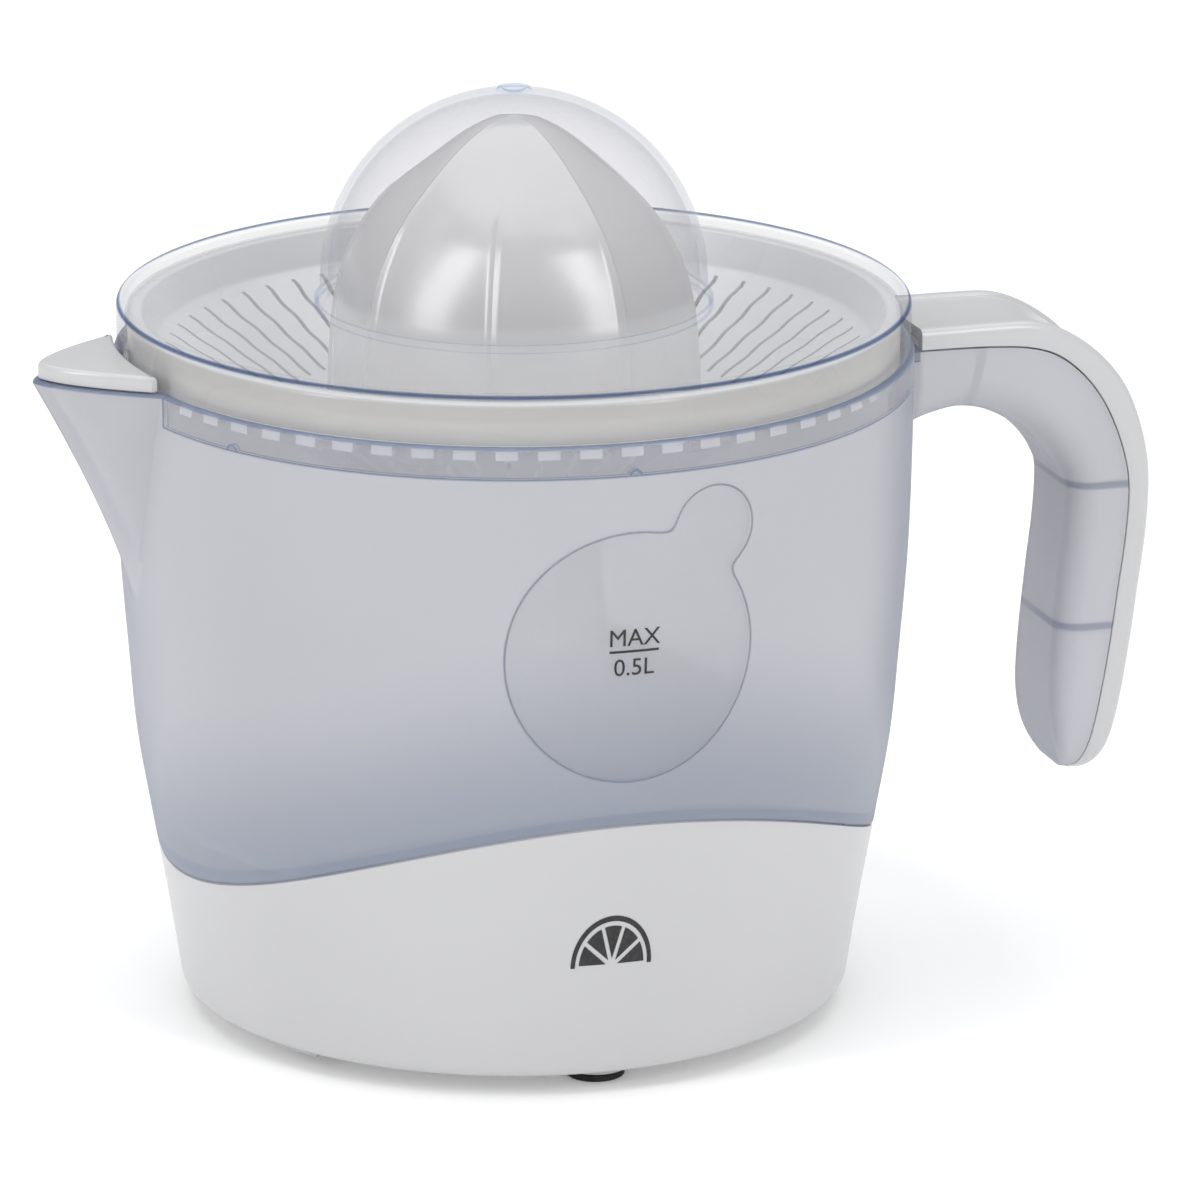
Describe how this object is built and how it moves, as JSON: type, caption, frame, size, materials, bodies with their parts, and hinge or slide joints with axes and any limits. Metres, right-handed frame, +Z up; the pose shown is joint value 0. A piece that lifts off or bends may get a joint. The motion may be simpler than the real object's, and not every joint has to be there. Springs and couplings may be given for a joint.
{
  "type": "electric citrus press juicer",
  "caption": "Electric citrus press: clear domed cover, fluted reamer and strainer over a handled frosted jug on a white geared motor base.",
  "frame": {"origin": "on the resting surface, at the middle of the footprint box; the spindle axis is 15.45 mm from it towards the spout", "axes": "+Z up, +X towards the handle (the spout is on -X), -Y is the front with the window and level mark"},
  "size_m": [0.218, 0.1512, 0.1779],
  "materials": {
    "clear_cover": "crystal-clear polished plastic with a faint blue tint in its edges",
    "frosted_jug": "frosted translucent plastic with polished bands",
    "white_gloss": "glossy white moulded plastic",
    "white_satin": "satin white moulded plastic",
    "black_rubber": "matt black rubber",
    "grey_rubber": "matt grey rubber",
    "steel": "bright steel",
    "laminated_iron": "stacked oiled laminations",
    "copper_winding": "enamelled copper wire under tape",
    "ferrite": "dark sintered ferrite",
    "nylon": "natural nylon, slightly greased",
    "bronze": "sintered bronze",
    "switch_black": "black switch housing"
  },
  "bodies": {
    "base": {"base_housing": "white_satin", "base_plate": "white_satin", "cord_grommet": "grey_rubber", "foot_1": "black_rubber", "foot_2": "black_rubber", "foot_3": "black_rubber", "base_screw_1": "steel", "base_screw_2": "steel", "base_screw_3": "steel", "stator_core": "laminated_iron", "coil_1": "copper_winding", "coil_2": "copper_winding", "rotor_shaft": "steel", "motor_screw_1": "steel", "motor_screw_2": "steel", "gear_chassis": "nylon", "chassis_screw_1": "steel", "chassis_screw_2": "steel", "chassis_screw_3": "steel", "gear_pin_1": "steel", "gear_pin_2": "steel", "gear_clip_1": "steel", "gear_clip_2": "steel", "return_spring": "steel", "spindle_bush": "bronze", "spindle_seal": "grey_rubber", "switch_body": "switch_black"},
    "plunger": {"press_plunger": "nylon", "thrust_washer": "bronze"},
    "spindle": {"drive_spindle": "steel", "output_gear": "nylon"},
    "second_gear": {"intermediate_gear_2": "nylon"},
    "first_gear": {"intermediate_gear_1": "nylon"},
    "rotor": {"rotor_magnet": "ferrite", "rotor_pinion": "nylon"},
    "button": {"switch_button": "grey_rubber"},
    "jug": {"jug_body": "frosted_jug", "handle_cover": "white_satin", "spout_cover": "white_satin"},
    "strainer": {"strainer": "white_gloss"},
    "reamer": {"reamer": "white_gloss"},
    "cover": {"dust_cover": "clear_cover"}
  },
  "joints": [
    {"name": "spindle_press", "type": "slide", "parent": "base", "child": "plunger", "axis": [0, 0, -1], "range_m": [0, 0.002], "stiffness_N_per_m": 3000, "springref_m": -0.001, "deforming": ["return_spring"]},
    {"name": "spindle_spin", "type": "hinge", "parent": "plunger", "child": "spindle", "pos_m": [-0.01545, 0, 0.0457], "axis": [0, 0, 1], "continuous": true},
    {"name": "second_gear_spin", "type": "hinge", "parent": "base", "child": "second_gear", "pos_m": [0.00691, 0.00249, 0.0388], "axis": [0, 0, 1], "continuous": true},
    {"name": "first_gear_spin", "type": "hinge", "parent": "base", "child": "first_gear", "pos_m": [0.01149, -0.01647, 0.0344], "axis": [0, 0, 1], "continuous": true},
    {"name": "rotor_spin", "type": "hinge", "parent": "base", "child": "rotor", "pos_m": [-0.00345, -0.029, 0.02], "axis": [0, 0, 1], "continuous": true},
    {"name": "switch_press", "type": "slide", "parent": "base", "child": "button", "axis": [0, 0, -1], "range_m": [0, 0.002]},
    {"name": "jug_lift", "type": "slide", "parent": "base", "child": "jug", "axis": [0, 0, 1], "range_m": [0, 0.095]},
    {"name": "strainer_lift", "type": "slide", "parent": "jug", "child": "strainer", "axis": [0, 0, 1], "range_m": [0, 0.04]},
    {"name": "reamer_spin", "type": "hinge", "parent": "strainer", "child": "reamer", "pos_m": [-0.01545, 0, 0.14], "axis": [0, 0, 1], "continuous": true},
    {"name": "cover_lift", "type": "slide", "parent": "strainer", "child": "cover", "axis": [0, 0, 1], "range_m": [0, 0.05]}
  ],
  "couplings": [
    {"joint": "first_gear_spin", "follows": "rotor_spin", "ratio": -0.3},
    {"joint": "second_gear_spin", "follows": "rotor_spin", "ratio": 0.09},
    {"joint": "spindle_spin", "follows": "rotor_spin", "ratio": -0.0225},
    {"joint": "reamer_spin", "follows": "rotor_spin", "ratio": -0.0225},
    {"joint": "switch_press", "follows": "spindle_press", "ratio": 1}
  ]
}
